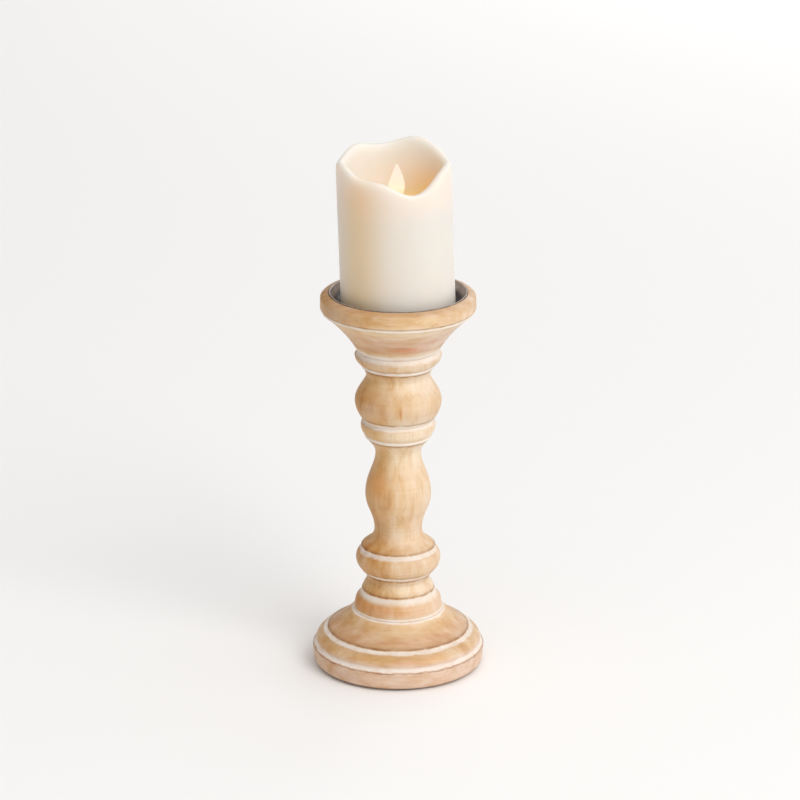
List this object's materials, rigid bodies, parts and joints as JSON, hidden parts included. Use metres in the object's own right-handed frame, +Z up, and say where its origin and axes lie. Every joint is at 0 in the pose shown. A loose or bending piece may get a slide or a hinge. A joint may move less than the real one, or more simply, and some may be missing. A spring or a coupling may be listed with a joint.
{
  "type": "candlestick",
  "caption": "Turned wooden pillar candlestick with an iron drip pan, carrying a battery wax candle whose flame sways on a wire.",
  "frame": {"origin": "on the turning axis, at the underside of the felt pad, where the candlestick stands", "axes": "+Z up along the turning axis, -Y towards the front, +X to the right seen from the front"},
  "size_m": [0.116, 0.116, 0.3591],
  "materials": {
    "mango_wood": "clear satin lacquer over pale wood, whitewash left in the turned grooves",
    "felt": "pressed felt",
    "black_iron": "satin black paint on spun sheet",
    "zinc_steel": "zinc plated",
    "wax": "smooth ivory wax, slightly translucent",
    "ivory_plastic": "moulded, fine matt",
    "black_plastic": "moulded, fine matt",
    "flame_film": "frosted, lit from below",
    "magnet": "nickel plated",
    "copper_wire": "enamelled winding wire",
    "contact_metal": "plated sheet",
    "circuit_board": "green solder mask",
    "lamp_lens": "clear warm resin",
    "cell_jacket": null
  },
  "bodies": {
    "candlestick": {"turned_base": "mango_wood", "felt_pad": "felt", "base_washer": "zinc_steel", "base_screw": "zinc_steel", "turned_stem": "mango_wood", "turned_cup": "mango_wood", "candle_pan": "black_iron", "pan_screw": "black_iron"},
    "candle": {"wax_shell": "wax", "housing_can": "ivory_plastic", "base_plate": "ivory_plastic", "housing_screw_1": "zinc_steel", "housing_screw_2": "zinc_steel", "housing_screw_3": "zinc_steel", "battery_holder": "black_plastic", "battery_1": "cell_jacket", "battery_2": "cell_jacket", "contact_spring": "zinc_steel", "contact_tab": "contact_metal", "flame_insert": "ivory_plastic", "flame_pivot_wire": "zinc_steel", "coil_bobbin": "black_plastic", "drive_coil": "copper_wire", "circuit_board": "circuit_board", "led": "lamp_lens", "led_holder": "black_plastic", "switch_body": "black_plastic"},
    "flame_blade": {"flame": "flame_film", "flame_magnet": "magnet"},
    "cover": {"battery_cover": "ivory_plastic", "cover_contact": "contact_metal"},
    "switch": {"switch_slider": "black_plastic"}
  },
  "joints": [
    {"name": "candle_lift", "type": "slide", "parent": "candlestick", "child": "candle", "axis": [0, 0, 1], "range_m": [0, 0.06]},
    {"name": "flame_sway", "type": "hinge", "parent": "candle", "child": "flame_blade", "pos_m": [0, 0, 0.3148], "axis": [0, 1, 0], "range_deg": [-8, 8]},
    {"name": "battery_cover_turn", "type": "hinge", "parent": "candle", "child": "cover", "pos_m": [0, 0.01255, 0.2558], "axis": [0, 0, -1], "range_deg": [0, 40]},
    {"name": "switch_slide", "type": "slide", "parent": "candle", "child": "switch", "axis": [1, 0, 0], "range_m": [0, 0.005]}
  ]
}
